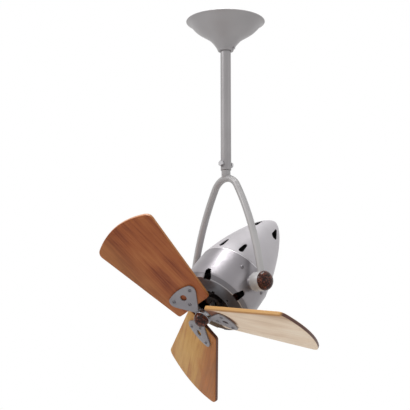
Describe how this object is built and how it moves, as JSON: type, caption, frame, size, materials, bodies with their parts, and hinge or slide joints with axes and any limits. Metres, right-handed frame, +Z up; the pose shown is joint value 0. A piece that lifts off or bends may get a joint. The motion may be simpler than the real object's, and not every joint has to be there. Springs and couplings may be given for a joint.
{
  "type": "directional ceiling fan",
  "caption": "Single-head directional ceiling fan: trumpet canopy, downrod, pointed bow, tilting teardrop motor head with pitched wooden blades and ball clamp knobs.",
  "frame": {"origin": "centre of the hanger bracket's ceiling face, on the downrod's axis", "axes": "+Z up along the downrod, +X along the head's tilt axis, -Y the side that the fan faces"},
  "size_m": [0.4039, 0.3331, 0.6887],
  "materials": {
    "rod_paint": "satin warm grey paint",
    "rear_shell_paint": "satin light grey paint",
    "front_shell_satin": "satin metallic grey paint",
    "cast_pad": "cast, satin, hub polished",
    "bright_steel": "plated",
    "zinc_steel": "zinc plated",
    "motor_iron": "dark lacquer",
    "copper_winding": "varnished copper",
    "blade_wood": "satin varnish",
    "burl": "high gloss lacquer",
    "dark_nylon": "matt"
  },
  "bodies": {
    "mount": {"hanger_bracket": "zinc_steel", "hanger_ball": "dark_nylon", "hanger_pin": "bright_steel", "downrod": "rod_paint", "bow": "rod_paint", "cross_bolt": "bright_steel", "cross_bolt_washer": "bright_steel", "cross_nut_washer": "bright_steel", "cross_nut": "bright_steel"},
    "canopy_body": {"canopy": "rod_paint", "canopy_set_screw": "bright_steel"},
    "head": {"rear_shell": "rear_shell_paint", "front_shell": "front_shell_satin", "motor_cradle": "zinc_steel", "stator_stack": "motor_iron", "front_winding": "copper_winding", "rear_winding": "copper_winding", "front_end_bracket": "motor_iron", "rear_end_bracket": "motor_iron", "front_bearing": "bright_steel", "rear_bearing": "bright_steel", "run_capacitor": "dark_nylon", "pivot_stud_left": "bright_steel", "pivot_stud_right": "bright_steel", "friction_washer_left": "dark_nylon", "friction_washer_right": "dark_nylon", "shell_screw_1": "bright_steel", "shell_screw_2": "bright_steel", "shell_screw_3": "bright_steel", "shell_screw_4": "bright_steel"},
    "rotor": {"rotor_core": "motor_iron", "rotor_shaft": "bright_steel", "blade_spider": "cast_pad", "hub_cap": "burl", "blade_1": "blade_wood", "blade_2": "blade_wood", "blade_3": "blade_wood", "blade_screw_1a": "bright_steel", "blade_screw_1b": "bright_steel", "blade_screw_1c": "bright_steel", "blade_screw_2a": "bright_steel", "blade_screw_2b": "bright_steel", "blade_screw_2c": "bright_steel", "blade_screw_3a": "bright_steel", "blade_screw_3b": "bright_steel", "blade_screw_3c": "bright_steel"},
    "knob_left": {"clamp_knob_left": "burl"},
    "knob_right": {"clamp_knob_right": "burl"}
  },
  "joints": [
    {"name": "canopy_slide", "type": "slide", "parent": "mount", "child": "canopy_body", "axis": [0, 0, 1], "range_m": [-0.15, 0]},
    {"name": "head_tilt", "type": "hinge", "parent": "mount", "child": "head", "pos_m": [0, 0, -0.4911], "axis": [1, 0, 0], "range_deg": [-47, 133]},
    {"name": "rotor_spin", "type": "hinge", "parent": "head", "child": "rotor", "pos_m": [0, 0, -0.4911], "axis": [0, -0.6807, -0.7325], "continuous": true},
    {"name": "knob_left_turn", "type": "hinge", "parent": "head", "child": "knob_left", "pos_m": [-0.0978, 0, -0.4911], "axis": [-1, 0, 0], "range_deg": [0, 180]},
    {"name": "knob_right_turn", "type": "hinge", "parent": "head", "child": "knob_right", "pos_m": [0.0978, 0, -0.4911], "axis": [1, 0, 0], "range_deg": [0, 180]}
  ]
}
